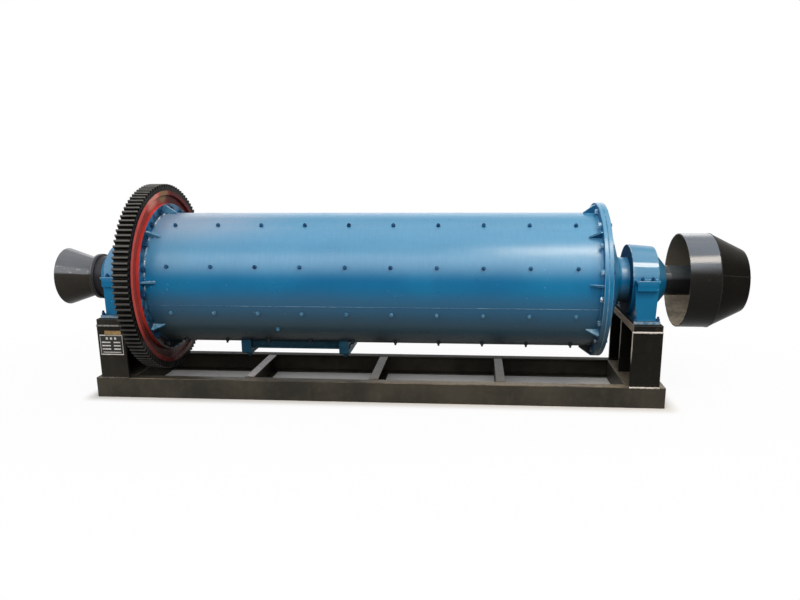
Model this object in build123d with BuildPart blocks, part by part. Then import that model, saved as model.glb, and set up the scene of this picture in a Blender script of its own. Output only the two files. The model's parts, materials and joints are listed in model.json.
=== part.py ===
import os
from math import cos, pi, radians, sin, tan

from build123d import *

os.makedirs("parts", exist_ok=True)

# Frame: origin on the floor under the middle of the base, X along the drum
# towards the feed end, Z up. All sizes in mm.

# Mill size class: 900 mm inside the shell, 3 m long
shell_bore = 450
shell_wall = 12
shell_radius = shell_bore + shell_wall
shell_half = 1531
axis_height = 808
weld_gap = 0.1

# Bolted flanges at both ends of the drum
flange_reach = 67
flange_radius = shell_radius + flange_reach
flange_chamfer = 2
drum_flange_thickness = 27
head_flange_thickness = 28
gusset_length = 82
gusset_height = 58
gusset_land = 14
gusset_toe = 10
gusset_thickness = 12
gusset_count = 9
gusset_offset = 5.5

# Ring gear, bolted between the discharge head and the drum
gear_module = 12
gear_teeth = 110
gear_shift = -0.4
gear_face_width = 108
gear_rim_thickness = 50
gear_web_thickness = 30
gear_web_clearance = 2
gear_web_bore = shell_bore + gear_web_clearance
gear_overhang = 16
gear_tip = gear_module * (gear_teeth / 2 + 1 + gear_shift)
gear_root = gear_module * (gear_teeth / 2 - 1.25 + gear_shift)
gear_rim_inner = gear_root - gear_rim_thickness
pressure_angle = 20

# Heads and their hollow trunnions
journal_radius = 156
journal_clearance = 0.3
head_wall = 32
head_cone_setback = 4
head_cone_radius = shell_bore - head_cone_setback
head_step = 18
head_cone_length = 92
neck_fillet = 30
discharge_bore = 125
trunnion_overhang = 12

# Split bearings
bearing_setback = 208
bearing_width = 173
bearing_height = 243
bearing_inner = shell_half + bearing_setback
bearing_outer = bearing_inner + bearing_width
bearing_centre = bearing_inner + bearing_width / 2
trunnion_end = bearing_outer + trunnion_overhang
cap_radius_inner = 247
cap_radius_outer = 232
cap_bevel = 3
base_radius = 237
ear_reach = 302
ear_thickness = 26
ear_width = 134
ear_slab_width = 154
ear_slab_thickness = 14
column_top_width = 154
column_foot_width = 122
column_half_top = 266
column_half_foot = 292
foot_thickness = 18
foot_half = 324
foot_width = 172
casting_fillet = 10
cover_base_radius = 207
cover_length = 76
discharge_cover_length = 58
cover_wall = 12
cover_clearance = 6

# Pedestals
pedestal_lead = 11
pedestal_width = 196
pedestal_top = axis_height - bearing_height
pedestal_inner = bearing_inner - pedestal_lead
pedestal_outer = pedestal_inner + pedestal_width
pedestal_centre = pedestal_inner + pedestal_width / 2
top_plate_thickness = 45
top_plate_chamfer = 6
rib_thickness = 20
web_setback = 8

# Base frame of channel beams
base_overhang = 44
base_width = 740
beam_height = 143
beam_flange = 75
beam_web = 9
beam_flange_thickness = 12
cross_spacing = 881
cross_width = 62
cross_web = 9
cope_clearance = 1
end_beam_lead = 20
end_beam_plate = 12
base_half = pedestal_outer + base_overhang
base_length = 2 * base_half
end_beam_width = base_half - pedestal_inner + end_beam_lead
side_half = base_width / 2
inner_half = side_half - beam_flange

# Discharge end
collar_radius = 150
collar_flange_radius = 164
collar_flange_thickness = 16
collar_length = 122
discharge_cone_narrow = 127
discharge_cone_mouth = 206
discharge_cone_length = 235
cone_wall = 8

# Feed end
tube_radius = 103
tube_wall = 10
tube_seat = 90
feeder_radius = 322
feeder_wall = 8
feeder_gap = 162
feeder_length = 197
feeder_cone_length = 217
feeder_mouth = 214
diaphragm_thickness = 10

# Manhole in the underside of the drum
manhole_centre = -573
manhole_length = 710
manhole_width = 270
manhole_frame_wall = 25
manhole_rise = 8
manhole_seat = shell_radius + manhole_rise
manhole_cover_thickness = 16
manhole_cover_lip = 8
manhole_cover_corner = 20
clamp_width = 70
clamp_height = 40
clamp_leg = 20
clamp_clearance = 6
clamp_bevel_height = 15
clamp_bevel_run = 30

# Derived positions along the drum
drum_flange_inner = shell_half - drum_flange_thickness
feed_head_start = shell_half
discharge_head_start = shell_half + gear_web_thickness
feeder_start = trunnion_end + feeder_gap
feeder_end = feeder_start + feeder_length
beam_top = beam_height
axis = Axis((0, 0, axis_height), (1, 0, 0))
side = Plane(origin=(0, 0, axis_height), x_dir=(1, 0, 0), z_dir=(0, -1, 0))
cross = Plane(origin=(0, 0, axis_height), x_dir=(0, 1, 0), z_dir=(1, 0, 0))


def head_neck(start):
    return start + head_flange_thickness + head_step + head_cone_length


def head_profile(start, bore):
    flange_out = start + head_flange_thickness
    neck = head_neck(start)
    return [
        (start, flange_radius),
        (flange_out, flange_radius),
        (flange_out, head_cone_radius),
        (flange_out + head_step, head_cone_radius),
        (neck, journal_radius),
        (trunnion_end, journal_radius),
        (trunnion_end, bore),
        (neck - head_wall, bore),
        (start, head_cone_radius - head_wall),
    ]


def gear_outline():
    pitch = gear_module * gear_teeth / 2
    half_pitch = (pi / 2 + 2 * gear_shift * tan(radians(pressure_angle))) / gear_teeth
    points = []
    for tooth in range(gear_teeth):
        middle = 2 * pi * tooth / gear_teeth
        for radius, flank in (
            (gear_root, -1),
            (pitch, -1),
            (gear_tip, -1),
            (gear_tip, 1),
            (pitch, 1),
            (gear_root, 1),
        ):
            lean = (pitch - radius) * tan(radians(pressure_angle)) / pitch
            angle = middle + flank * (half_pitch + lean)
            points.append((radius * cos(angle), radius * sin(angle)))
    return points


# Base frame

with BuildPart() as front_beam:
    with BuildSketch(Plane.YZ.offset(-base_half)):
        with BuildLine():
            Polyline(
                (-side_half, 0),
                (-inner_half, 0),
                (-inner_half, beam_flange_thickness),
                (-side_half + beam_web, beam_flange_thickness),
                (-side_half + beam_web, beam_height - beam_flange_thickness),
                (-inner_half, beam_height - beam_flange_thickness),
                (-inner_half, beam_height),
                (-side_half, beam_height),
                close=True,
            )
        make_face()
    extrude(amount=base_length)
front_beam.part.label = "front_beam"
export_step(front_beam.part, "parts/front_beam.step")

with BuildPart() as rear_beam:
    mirror(front_beam.part, about=Plane.XZ)
rear_beam.part.label = "rear_beam"
export_step(rear_beam.part, "parts/rear_beam.step")

cope_height = beam_height - 2 * beam_flange_thickness - 2 * cope_clearance

with BuildPart() as middle_crossbeam:
    with BuildSketch(Plane.XZ.offset(-inner_half)):
        with BuildLine():
            Polyline(
                (-cross_width / 2, 0),
                (cross_width / 2, 0),
                (cross_width / 2, cross_web),
                (-cross_width / 2 + cross_web, cross_web),
                (-cross_width / 2 + cross_web, beam_height - cross_web),
                (cross_width / 2, beam_height - cross_web),
                (cross_width / 2, beam_height),
                (-cross_width / 2, beam_height),
                close=True,
            )
        make_face()
    extrude(amount=2 * inner_half)
    # The web is coped into both side beams
    with Locations((-cross_width / 2 + cross_web / 2, 0, beam_height / 2)):
        Box(cross_web, base_width - 2 * beam_web, cope_height)
middle_crossbeam.part.label = "middle_crossbeam"
export_step(middle_crossbeam.part, "parts/middle_crossbeam.step")

with BuildPart() as left_crossbeam:
    add(middle_crossbeam.part.moved(Location((-cross_spacing, 0, 0))))
left_crossbeam.part.label = "left_crossbeam"
export_step(left_crossbeam.part, "parts/left_crossbeam.step")

with BuildPart() as right_crossbeam:
    add(middle_crossbeam.part.moved(Location((cross_spacing, 0, 0))))
right_crossbeam.part.label = "right_crossbeam"
export_step(right_crossbeam.part, "parts/right_crossbeam.step")

with BuildPart() as right_end_beam:
    with Locations((base_half - end_beam_width / 2, 0, beam_height / 2)):
        Box(end_beam_width, 2 * inner_half, beam_height)
    with Locations((base_half - end_beam_width / 2, 0, (beam_height - end_beam_plate) / 2)):
        Box(
            end_beam_width - 2 * end_beam_plate,
            2 * inner_half,
            beam_height - end_beam_plate,
            mode=Mode.SUBTRACT,
        )
right_end_beam.part.label = "right_end_beam"
export_step(right_end_beam.part, "parts/right_end_beam.step")

with BuildPart() as left_end_beam:
    mirror(right_end_beam.part, about=Plane.YZ)
left_end_beam.part.label = "left_end_beam"
export_step(left_end_beam.part, "parts/left_end_beam.step")

# Pedestals

rib_height = pedestal_top - top_plate_thickness - beam_top
rib_middle = beam_top + rib_height / 2
web_outer = pedestal_outer - web_setback
web_inner = web_outer - rib_thickness

with BuildPart() as right_pedestal_ribs:
    with Locations(
        (pedestal_centre, -side_half + rib_thickness / 2, rib_middle),
        (pedestal_centre, side_half - rib_thickness / 2, rib_middle),
    ):
        Box(pedestal_width, rib_thickness, rib_height)
    with Locations(((pedestal_inner + web_inner) / 2, 0, rib_middle)):
        Box(web_inner - pedestal_inner, rib_thickness, rib_height)
right_pedestal_ribs.part.label = "right_pedestal_ribs"
export_step(right_pedestal_ribs.part, "parts/right_pedestal_ribs.step")

with BuildPart() as left_pedestal_ribs:
    mirror(right_pedestal_ribs.part, about=Plane.YZ)
left_pedestal_ribs.part.label = "left_pedestal_ribs"
export_step(left_pedestal_ribs.part, "parts/left_pedestal_ribs.step")

with BuildPart() as right_pedestal_web:
    with Locations(((web_inner + web_outer) / 2, 0, rib_middle)):
        Box(rib_thickness, base_width - 2 * rib_thickness, rib_height)
right_pedestal_web.part.label = "right_pedestal_web"
export_step(right_pedestal_web.part, "parts/right_pedestal_web.step")

with BuildPart() as left_pedestal_web:
    mirror(right_pedestal_web.part, about=Plane.YZ)
left_pedestal_web.part.label = "left_pedestal_web"
export_step(left_pedestal_web.part, "parts/left_pedestal_web.step")

with BuildPart() as right_top_plate:
    with Locations((pedestal_centre, 0, pedestal_top - top_plate_thickness / 2)):
        Box(pedestal_width, base_width, top_plate_thickness)
    chamfer(right_top_plate.edges().filter_by(Axis.Z), top_plate_chamfer)
right_top_plate.part.label = "right_top_plate"
export_step(right_top_plate.part, "parts/right_top_plate.step")

with BuildPart() as left_top_plate:
    mirror(right_top_plate.part, about=Plane.YZ)
left_top_plate.part.label = "left_top_plate"
export_step(left_top_plate.part, "parts/left_top_plate.step")

# Bearings, split on the level of the drum's axis

bearing_bore = journal_radius + journal_clearance
column_foot = pedestal_top - axis_height + foot_thickness

with BuildPart() as right_bearing_base:
    with BuildSketch(cross.offset(bearing_inner)):
        Circle(base_radius)
        with Locations((0, base_radius)):
            Rectangle(4 * base_radius, 2 * base_radius, mode=Mode.SUBTRACT)
    extrude(amount=bearing_width)
    with BuildSketch(Plane(origin=(bearing_centre, 0, axis_height))):
        Rectangle(column_top_width, 2 * column_half_top)
    with BuildSketch(Plane(origin=(bearing_centre, 0, axis_height + column_foot))):
        Rectangle(column_foot_width, 2 * column_half_foot)
    loft()
    with Locations((bearing_centre, 0, axis_height - ear_thickness / 2)):
        Box(ear_width, 2 * ear_reach, ear_thickness)
    with Locations((bearing_centre, 0, pedestal_top + foot_thickness / 2)):
        Box(foot_width, 2 * foot_half, foot_thickness)
    foot_edges = right_bearing_base.edges().filter_by_position(
        Axis.Z, pedestal_top + foot_thickness - weld_gap, pedestal_top + foot_thickness + weld_gap
    )
    column_edges = foot_edges.filter_by_position(
        Axis.X,
        bearing_centre - column_foot_width / 2 - weld_gap,
        bearing_centre + column_foot_width / 2 + weld_gap,
    ).filter_by_position(Axis.Y, -column_half_foot - weld_gap, column_half_foot + weld_gap)
    fillet(column_edges, casting_fillet)
    with BuildSketch(cross.offset(bearing_inner)):
        Circle(bearing_bore)
    extrude(amount=bearing_width, mode=Mode.SUBTRACT)
right_bearing_base.part.label = "right_bearing_base"
export_step(right_bearing_base.part, "parts/right_bearing_base.step")

with BuildPart() as left_bearing_base:
    mirror(right_bearing_base.part, about=Plane.YZ)
left_bearing_base.part.label = "left_bearing_base"
export_step(left_bearing_base.part, "parts/left_bearing_base.step")

with BuildPart() as right_bearing_cap:
    with BuildSketch(side):
        with BuildLine():
            Polyline(
                (bearing_inner, bearing_bore),
                (bearing_inner, cap_radius_inner - cap_bevel),
                (bearing_inner + cap_bevel, cap_radius_inner),
                (bearing_outer, cap_radius_outer),
                (bearing_outer, bearing_bore),
                close=True,
            )
        make_face()
    revolve(axis=axis, revolution_arc=360)
    with Locations((bearing_centre, 0, axis_height + ear_thickness / 2)):
        Box(ear_width, 2 * ear_reach, ear_thickness)
    with Locations((bearing_centre, 0, axis_height + ear_thickness + ear_slab_thickness / 2)):
        Box(ear_slab_width, 2 * ear_reach, ear_slab_thickness)
    with BuildSketch(cross.offset(bearing_inner)):
        Circle(bearing_bore)
    extrude(amount=bearing_width, mode=Mode.SUBTRACT)
    with Locations((bearing_centre, 0, axis_height - ear_reach / 2)):
        Box(2 * bearing_width, 3 * ear_reach, ear_reach, mode=Mode.SUBTRACT)
right_bearing_cap.part.label = "right_bearing_cap"
export_step(right_bearing_cap.part, "parts/right_bearing_cap.step")

with BuildPart() as left_bearing_cap:
    mirror(right_bearing_cap.part, about=Plane.YZ)
left_bearing_cap.part.label = "left_bearing_cap"
export_step(left_bearing_cap.part, "parts/left_bearing_cap.step")

with BuildPart() as right_seal_cover:
    with BuildSketch(side):
        with BuildLine():
            Polyline(
                (bearing_outer, cover_base_radius),
                (bearing_outer + cover_length, tube_radius + cover_clearance + cover_wall / 2),
                (bearing_outer + cover_length, tube_radius + cover_clearance),
                (bearing_outer + cover_length - cover_wall, tube_radius + cover_clearance),
                (bearing_outer, cover_base_radius - cover_wall),
                close=True,
            )
        make_face()
    revolve(axis=axis, revolution_arc=360)
right_seal_cover.part.label = "right_seal_cover"
export_step(right_seal_cover.part, "parts/right_seal_cover.step")

left_cover_tip = collar_radius + cover_clearance

with BuildPart() as left_seal_cover:
    with BuildSketch(side):
        with BuildLine():
            Polyline(
                (-bearing_outer, cover_base_radius),
                (-bearing_outer - discharge_cover_length, left_cover_tip + cover_wall / 2),
                (-bearing_outer - discharge_cover_length, left_cover_tip),
                (-bearing_outer - discharge_cover_length + cover_wall, left_cover_tip),
                (-bearing_outer, cover_base_radius - cover_wall),
                close=True,
            )
        make_face()
    revolve(axis=axis, revolution_arc=360)
left_seal_cover.part.label = "left_seal_cover"
export_step(left_seal_cover.part, "parts/left_seal_cover.step")

# Drum

with BuildPart() as drum_shell:
    with BuildSketch(cross.offset(-shell_half)):
        Circle(shell_radius)
        Circle(shell_bore, mode=Mode.SUBTRACT)
    extrude(amount=2 * shell_half)
    with Locations((manhole_centre, 0, axis_height - shell_radius)):
        Box(manhole_length, manhole_width, shell_radius, mode=Mode.SUBTRACT)
drum_shell.part.label = "drum_shell"
export_step(drum_shell.part, "parts/drum_shell.step")

with BuildPart() as right_drum_flange:
    with BuildSketch(cross.offset(drum_flange_inner)):
        Circle(flange_radius)
        Circle(shell_radius + weld_gap, mode=Mode.SUBTRACT)
    extrude(amount=drum_flange_thickness)
    chamfer(right_drum_flange.edges().filter_by(GeomType.CIRCLE).group_by(SortBy.RADIUS)[-1], flange_chamfer)
right_drum_flange.part.label = "right_drum_flange"
export_step(right_drum_flange.part, "parts/right_drum_flange.step")

with BuildPart() as left_drum_flange:
    mirror(right_drum_flange.part, about=Plane.YZ)
left_drum_flange.part.label = "left_drum_flange"
export_step(left_drum_flange.part, "parts/left_drum_flange.step")

with BuildPart(mode=Mode.PRIVATE) as gusset:
    with BuildSketch(side):
        with BuildLine():
            Polyline(
                (drum_flange_inner, shell_radius + weld_gap),
                (drum_flange_inner, shell_radius + gusset_height),
                (drum_flange_inner - gusset_land, shell_radius + gusset_height),
                (drum_flange_inner - gusset_length, shell_radius + gusset_toe),
                (drum_flange_inner - gusset_length, shell_radius + weld_gap),
                close=True,
            )
        make_face()
    extrude(amount=gusset_thickness / 2, both=True)

with BuildPart() as right_gussets:
    for index in range(gusset_count):
        angle = gusset_offset + 360 / gusset_count * index
        add(gusset.part.rotate(axis, angle))
right_gussets.part.label = "right_gussets"
export_step(right_gussets.part, "parts/right_gussets.step")

with BuildPart() as left_gussets:
    mirror(right_gussets.part, about=Plane.YZ)
left_gussets.part.label = "left_gussets"
export_step(left_gussets.part, "parts/left_gussets.step")

web_start = -shell_half - gear_web_thickness
gear_start = gear_overhang - shell_half - gear_face_width

with BuildPart() as ring_gear:
    with BuildSketch(cross.offset(gear_start)):
        with BuildLine():
            Polyline(*gear_outline(), close=True)
        make_face()
        Circle(gear_rim_inner, mode=Mode.SUBTRACT)
    extrude(amount=gear_face_width)
    with BuildSketch(cross.offset(web_start)):
        Circle(gear_rim_inner + weld_gap)
        Circle(gear_web_bore, mode=Mode.SUBTRACT)
    extrude(amount=gear_web_thickness)
ring_gear.part.label = "ring_gear"
export_step(ring_gear.part, "parts/ring_gear.step")

with BuildPart() as feed_head:
    with BuildSketch(side) as feed_head_section:
        with BuildLine():
            Polyline(*head_profile(feed_head_start, tube_radius + weld_gap), close=True)
        make_face()
        neck = (head_neck(feed_head_start), journal_radius)
        fillet(feed_head_section.vertices().sort_by_distance(neck)[0], neck_fillet)
    revolve(axis=axis, revolution_arc=360)
feed_head.part.label = "feed_head"
export_step(feed_head.part, "parts/feed_head.step")

with BuildPart(mode=Mode.PRIVATE) as discharge_blank:
    with BuildSketch(side) as discharge_head_section:
        with BuildLine():
            Polyline(*head_profile(discharge_head_start, discharge_bore), close=True)
        make_face()
        neck = (head_neck(discharge_head_start), journal_radius)
        fillet(discharge_head_section.vertices().sort_by_distance(neck)[0], neck_fillet)
    revolve(axis=axis, revolution_arc=360)

with BuildPart() as discharge_head:
    mirror(discharge_blank.part, about=Plane.YZ)
discharge_head.part.label = "discharge_head"
export_step(discharge_head.part, "parts/discharge_head.step")

# Manhole

manhole_plane = Plane(origin=(manhole_centre, 0, axis_height - manhole_seat))
frame_length = manhole_length + 2 * manhole_frame_wall
frame_width = manhole_width + 2 * manhole_frame_wall

with BuildPart() as manhole_frame:
    with BuildSketch(manhole_plane):
        Rectangle(frame_length, frame_width)
        Rectangle(manhole_length, manhole_width, mode=Mode.SUBTRACT)
    extrude(amount=manhole_seat / 2)
    with BuildSketch(cross.offset(-shell_half)):
        Circle(shell_radius + weld_gap)
    extrude(amount=2 * shell_half, mode=Mode.SUBTRACT)
manhole_frame.part.label = "manhole_frame"
export_step(manhole_frame.part, "parts/manhole_frame.step")

cover_length_manhole = frame_length + 2 * manhole_cover_lip
cover_width_manhole = frame_width + 2 * manhole_cover_lip
cover_outer = manhole_seat + manhole_cover_thickness

with BuildPart() as manhole_cover:
    with BuildSketch(manhole_plane):
        RectangleRounded(cover_length_manhole, cover_width_manhole, manhole_cover_corner)
    extrude(amount=-manhole_cover_thickness)
manhole_cover.part.label = "manhole_cover"
export_step(manhole_cover.part, "parts/manhole_cover.step")

clamp_centre = (cover_length_manhole - clamp_width) / 2
clamp_half = cover_width_manhole / 2 + clamp_clearance + clamp_leg

with BuildPart() as manhole_clamps:
    with Locations(
        (manhole_centre - clamp_centre, 0, axis_height - cover_outer - clamp_height / 2),
        (manhole_centre + clamp_centre, 0, axis_height - cover_outer - clamp_height / 2),
    ):
        Box(clamp_width, 2 * clamp_half, clamp_height)
    # Each bar has a leg at both ends, welded to the shell
    with Locations(
        (manhole_centre - clamp_centre, -clamp_half + clamp_leg / 2, axis_height - cover_outer),
        (manhole_centre - clamp_centre, clamp_half - clamp_leg / 2, axis_height - cover_outer),
        (manhole_centre + clamp_centre, -clamp_half + clamp_leg / 2, axis_height - cover_outer),
        (manhole_centre + clamp_centre, clamp_half - clamp_leg / 2, axis_height - cover_outer),
    ):
        Box(clamp_width, clamp_leg, clamp_half, align=(Align.CENTER, Align.CENTER, Align.MIN))
    with BuildSketch(cross.offset(-shell_half)):
        Circle(shell_radius + weld_gap)
    extrude(amount=2 * shell_half, mode=Mode.SUBTRACT)
    chamfer(
        manhole_clamps.edges().filter_by(Axis.X).group_by(Axis.Z)[0],
        length=clamp_bevel_height,
        length2=clamp_bevel_run,
    )
manhole_clamps.part.label = "manhole_clamps"
export_step(manhole_clamps.part, "parts/manhole_clamps.step")

# Discharge end

collar_end = -trunnion_end - collar_length
cone_flange_end = collar_end - collar_flange_thickness
discharge_end = cone_flange_end - discharge_cone_length

with BuildPart() as discharge_collar:
    with BuildSketch(side):
        with BuildLine():
            Polyline(
                (-trunnion_end, discharge_bore),
                (-trunnion_end, collar_radius),
                (collar_end + collar_flange_thickness, collar_radius),
                (collar_end + collar_flange_thickness, collar_flange_radius),
                (collar_end, collar_flange_radius),
                (collar_end, discharge_bore),
                close=True,
            )
        make_face()
    revolve(axis=axis, revolution_arc=360)
discharge_collar.part.label = "discharge_collar"
export_step(discharge_collar.part, "parts/discharge_collar.step")

with BuildPart() as discharge_cone:
    with BuildSketch(side):
        with BuildLine():
            Polyline(
                (collar_end, collar_flange_radius),
                (cone_flange_end, collar_flange_radius),
                (cone_flange_end, discharge_cone_narrow),
                (discharge_end, discharge_cone_mouth),
                (discharge_end, discharge_cone_mouth - cone_wall),
                (cone_flange_end, discharge_cone_narrow - cone_wall),
                (collar_end, discharge_cone_narrow - cone_wall),
                close=True,
            )
        make_face()
    revolve(axis=axis, revolution_arc=360)
discharge_cone.part.label = "discharge_cone"
export_step(discharge_cone.part, "parts/discharge_cone.step")

# Feed end

with BuildPart() as feed_tube:
    with BuildSketch(cross.offset(trunnion_end - tube_seat)):
        Circle(tube_radius)
        Circle(tube_radius - tube_wall, mode=Mode.SUBTRACT)
    extrude(amount=feeder_end - trunnion_end + tube_seat)
feed_tube.part.label = "feed_tube"
export_step(feed_tube.part, "parts/feed_tube.step")

with BuildPart() as feeder_drum:
    with BuildSketch(cross.offset(feeder_start)):
        Circle(feeder_radius)
        Circle(feeder_radius - feeder_wall, mode=Mode.SUBTRACT)
    extrude(amount=feeder_length)
feeder_drum.part.label = "feeder_drum"
export_step(feeder_drum.part, "parts/feeder_drum.step")

with BuildPart() as feeder_diaphragm:
    with BuildSketch(cross.offset(feeder_end - diaphragm_thickness)):
        Circle(feeder_radius - feeder_wall - weld_gap)
        Circle(tube_radius + weld_gap, mode=Mode.SUBTRACT)
    extrude(amount=diaphragm_thickness)
feeder_diaphragm.part.label = "feeder_diaphragm"
export_step(feeder_diaphragm.part, "parts/feeder_diaphragm.step")

with BuildPart() as feeder_cone:
    with BuildSketch(side):
        with BuildLine():
            Polyline(
                (feeder_end, feeder_radius),
                (feeder_end + feeder_cone_length, feeder_mouth),
                (feeder_end + feeder_cone_length, feeder_mouth - feeder_wall),
                (feeder_end, feeder_radius - feeder_wall),
                close=True,
            )
        make_face()
    revolve(axis=axis, revolution_arc=360)
feeder_cone.part.label = "feeder_cone"
export_step(feeder_cone.part, "parts/feeder_cone.step")
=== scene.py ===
import json
import math

import bpy
from mathutils import Matrix, Vector


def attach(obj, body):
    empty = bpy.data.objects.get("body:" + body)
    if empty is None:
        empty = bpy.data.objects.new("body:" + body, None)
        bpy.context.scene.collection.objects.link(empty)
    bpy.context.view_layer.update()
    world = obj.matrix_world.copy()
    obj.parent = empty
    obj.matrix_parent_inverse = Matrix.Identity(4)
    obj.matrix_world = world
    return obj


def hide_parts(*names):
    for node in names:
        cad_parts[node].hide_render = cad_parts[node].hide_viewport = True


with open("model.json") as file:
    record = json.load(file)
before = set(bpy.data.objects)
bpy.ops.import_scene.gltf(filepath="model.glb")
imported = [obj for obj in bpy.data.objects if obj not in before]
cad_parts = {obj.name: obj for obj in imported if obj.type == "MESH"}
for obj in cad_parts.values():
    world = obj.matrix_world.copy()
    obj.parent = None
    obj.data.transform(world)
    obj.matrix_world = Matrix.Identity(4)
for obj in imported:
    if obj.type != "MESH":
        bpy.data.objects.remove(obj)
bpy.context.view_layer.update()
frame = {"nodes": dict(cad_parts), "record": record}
axisHeight = frame["record"]["behaviour"]["joints"][0]["pos_m"][2]  # drum axis over the floor
drumLine = Vector((0, 0, axisHeight))


def boxOf(node):
    piece = frame["nodes"][node]
    spots = [piece.matrix_world @ vertex.co for vertex in piece.data.vertices]
    low = Vector([min(spot[i] for spot in spots) for i in range(3)])
    high = Vector([max(spot[i] for spot in spots) for i in range(3)])
    return low, high


shellRadius = boxOf("drum_shell")[1].z - axisHeight
flangeFace = boxOf("right_drum_flange")[0].x  # inner face of the flanges, from the middle
bearingLow, bearingHigh = boxOf("right_bearing_base")
ribLow, ribHigh = boxOf("right_pedestal_ribs")
print("frame loaded:", len(frame["nodes"]), "nodes")


# The camera stands where the photo was taken

cameraSetup = {
    "place": (0.68576, -4.83518, axisHeight + 0.79827),
    "yaw": -0.08231, "pitch": 0.22385, "roll": -0.00628,
    "lens": 30.987, "sensor": 36, "shift": (-0.02186, 0.02526), "farthest": 200,
}


def addCamera(setup):
    yaw, pitch, roll = setup["yaw"], setup["pitch"], setup["roll"]
    ahead = Vector((
        math.sin(yaw) * math.cos(pitch),
        math.cos(yaw) * math.cos(pitch),
        -math.sin(pitch),
    ))
    right = Vector((math.cos(yaw), -math.sin(yaw), 0))
    up = right.cross(ahead)
    turnedRight = math.cos(roll) * right + math.sin(roll) * up
    turnedUp = math.cos(roll) * up - math.sin(roll) * right
    bpy.ops.object.camera_add()
    camera = bpy.context.object
    camera.name = "photoCamera"
    turn = Matrix((turnedRight, turnedUp, -ahead)).transposed()
    camera.matrix_world = Matrix.Translation(setup["place"]) @ turn.to_4x4()
    camera.data.lens = setup["lens"]
    camera.data.sensor_width = setup["sensor"]
    camera.data.shift_x, camera.data.shift_y = setup["shift"]
    camera.data.clip_end = setup["farthest"]
    bpy.context.scene.camera = camera


addCamera(cameraSetup)
print("camera placed")


# Shader nodes as expressions

class Wire:
    def __init__(self, wiring, socket):
        self.wiring = wiring
        self.socket = socket

    def calc(self, operation, first, second):
        return self.wiring.node("ShaderNodeMath", {"operation": operation}, {0: first, 1: second})

    def __add__(self, other):
        return self.calc("ADD", self, other)

    __radd__ = __add__

    def __sub__(self, other):
        return self.calc("SUBTRACT", self, other)

    def __rsub__(self, other):
        return self.calc("SUBTRACT", other, self)

    def __mul__(self, other):
        return self.calc("MULTIPLY", self, other)

    __rmul__ = __mul__

    def __truediv__(self, other):
        return self.calc("DIVIDE", self, other)

    def __rtruediv__(self, other):
        return self.calc("DIVIDE", other, self)

    def __pow__(self, other):
        return self.calc("POWER", self, other)

    def __rpow__(self, other):
        return self.calc("POWER", other, self)

    def __gt__(self, other):
        return self.calc("GREATER_THAN", self, other)

    def __lt__(self, other):
        return self.calc("LESS_THAN", self, other)

    def __abs__(self):
        return self.calc("ABSOLUTE", self, 0.0)

    def atLeast(self, other):
        return self.calc("MAXIMUM", self, other)


class Wiring:
    def __init__(self, tree):
        self.tree = tree

    def put(self, node, socketName, value):
        if isinstance(value, Wire):
            self.tree.links.new(value.socket, node.inputs[socketName])
        else:
            node.inputs[socketName].default_value = value

    def node(self, kind, settings, sockets, output=0):
        made = self.tree.nodes.new(kind)
        for key, value in settings.items():
            setattr(made, key, value)
        for key, value in sockets.items():
            self.put(made, key, value)
        return Wire(self, made.outputs[output])

    def lookedAt(self):  # 1 for what the camera sees, also in shine and through glass
        rays = ("Is Camera Ray", "Is Glossy Ray", "Is Transmission Ray")
        direct, shine, through = (self.node("ShaderNodeLightPath", {}, {}, ray) for ray in rays)
        return direct.atLeast(shine).atLeast(through)


fixedSockets = {
    "coat": "Coat Weight", "coatRough": "Coat Roughness", "coatIor": "Coat IOR",
    "specular": "Specular IOR Level", "metallic": "Metallic",
}


class Finish(Wiring):
    def __init__(self, name, look):
        self.material = bpy.data.materials.new(name)
        self.material.use_nodes = True
        super().__init__(self.material.node_tree)
        self.shader = self.tree.nodes["Principled BSDF"]
        for key, socketName in fixedSockets.items():
            if key in look:
                self.feed(socketName, look[key])
        self.place = self.node("ShaderNodeTexCoord", {}, {}, "Object")
        self.x, self.y, self.z = (
            self.node("ShaderNodeSeparateXYZ", {}, {0: self.place}, index) for index in range(3)
        )

    def feed(self, socketName, value):
        self.put(self.shader, socketName, value)

    def noise(self, scale, detail=4, rough=0.55, place=None):
        return self.node(
            "ShaderNodeTexNoise",
            {"noise_dimensions": "3D"},
            {"Vector": place or self.place, "Scale": scale, "Detail": detail, "Roughness": rough},
            "Fac",
        )

    def streaks(self, scale, stretch, detail=4):
        place = self.node("ShaderNodeMapping", {}, {"Vector": self.place, "Scale": stretch})
        return self.noise(scale, detail, 0.6, place)

    def step(self, value, low, high, toLow=0.0, toHigh=1.0):
        return self.node(
            "ShaderNodeMapRange",
            {"interpolation_type": "SMOOTHSTEP", "clamp": True},
            {"Value": value, "From Min": low, "From Max": high, "To Min": toLow, "To Max": toHigh},
        )

    def mix(self, factor, first, second):
        return self.node("ShaderNodeMix", {"data_type": "RGBA"}, {0: factor, 6: first, 7: second}, 2)

    def radius(self):
        up = self.z - axisHeight
        return (self.y * self.y + up * up) ** 0.5

    def lift(self):
        return (self.z - axisHeight) / self.radius()  # 1 at the top of the drum, -1 below

    def roughen(self, grit, low, high):
        self.feed("Roughness", self.step(grit, 0.3, 0.7, low, high))

    def bump(self, height, strength, distance):
        sockets = {"Strength": strength, "Distance": distance, "Height": height}
        self.feed("Normal", self.node("ShaderNodeBump", {}, sockets))


def rgb(red, green, blue):
    def linear(part):
        part = part / 255
        return part / 12.92 if part <= 0.04045 else ((part + 0.055) / 1.055) ** 2.4
    return (linear(red), linear(green), linear(blue), 1.0)


def dimmed(colour, shade):
    return tuple(part * shade for part in colour[:3]) + (1.0,)


# Finishes, by the names of their materials

finishes = {}


def addFinishes(makePaint, looks):
    for name, look in looks.items():
        finishes[name] = makePaint(look, name).material


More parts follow.
